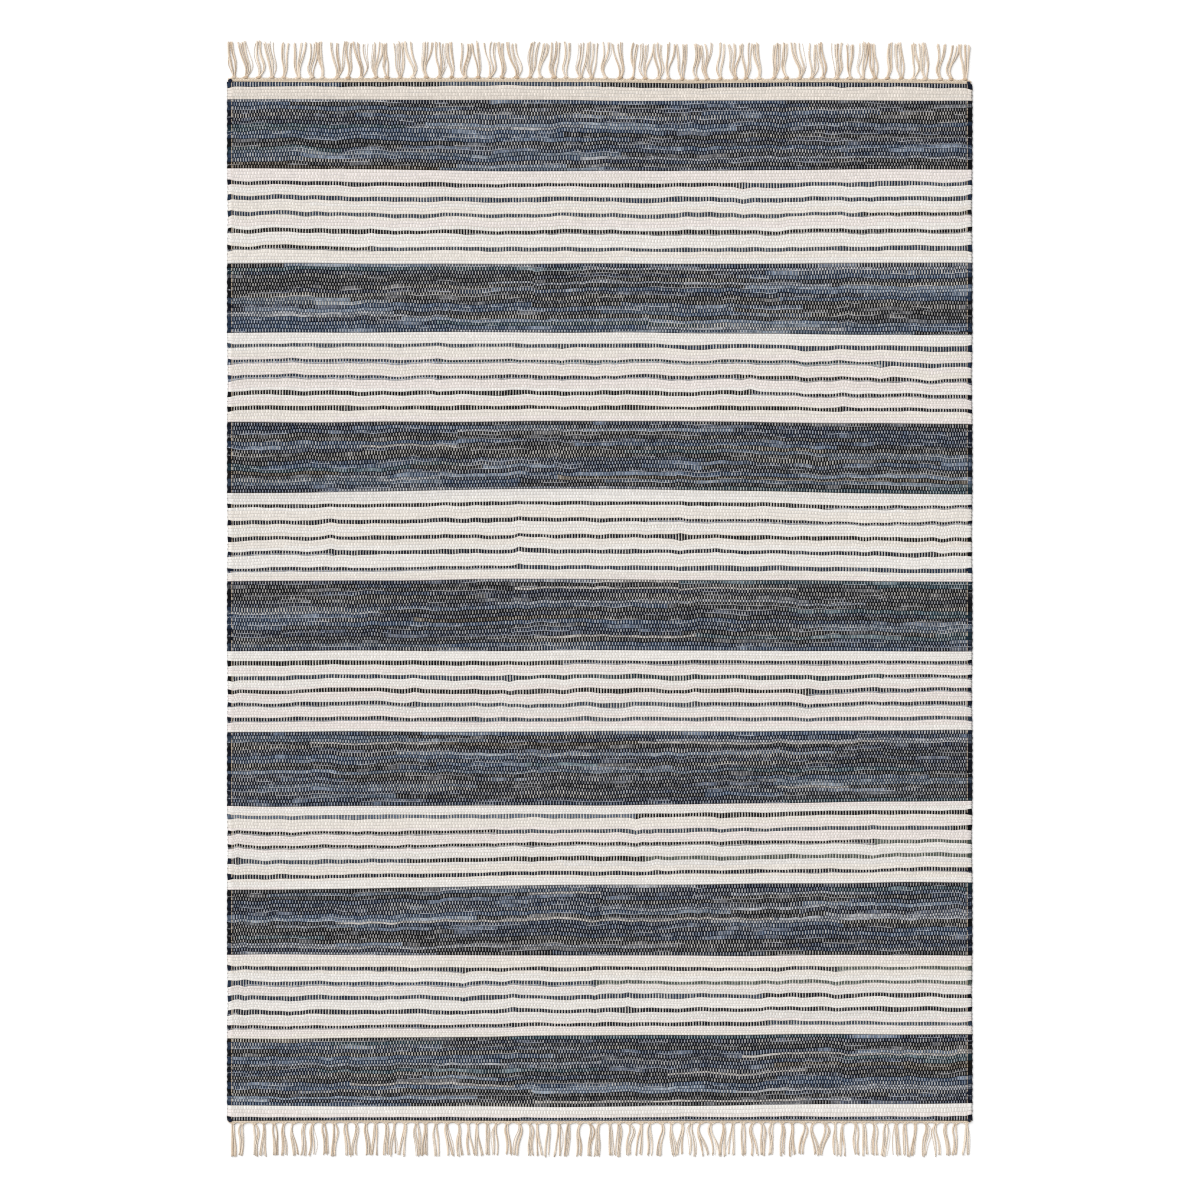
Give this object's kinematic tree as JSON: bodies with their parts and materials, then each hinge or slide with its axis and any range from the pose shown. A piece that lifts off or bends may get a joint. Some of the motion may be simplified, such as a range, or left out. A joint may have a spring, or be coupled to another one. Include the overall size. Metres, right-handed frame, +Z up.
{
  "type": "striped rag rug",
  "caption": "Flat hand-woven cotton rag rug with wide navy bands, thin dark stripes on off-white, and a tan fringe at each end.",
  "frame": {"origin": "on the floor, under the middle of the whole rug, fringe included", "axes": "+Z up from the floor, +Y along the rug's length towards the end with the knotted fringe, +X across its width to the right of that"},
  "size_m": [1.219, 1.828, 0.005],
  "materials": {
    "rag_weave": "matte plain weave of cotton rag: off-white ground, mixed navy, denim and charcoal bands and thin dark stripes",
    "tan_warp": "matte unbleached cotton warp yarn, pale tan, soft and slightly hairy"
  },
  "bodies": {
    "root": {"woven_field": "rag_weave", "fringe_far": "tan_warp", "fringe_near": "tan_warp"}
  },
  "joints": []
}
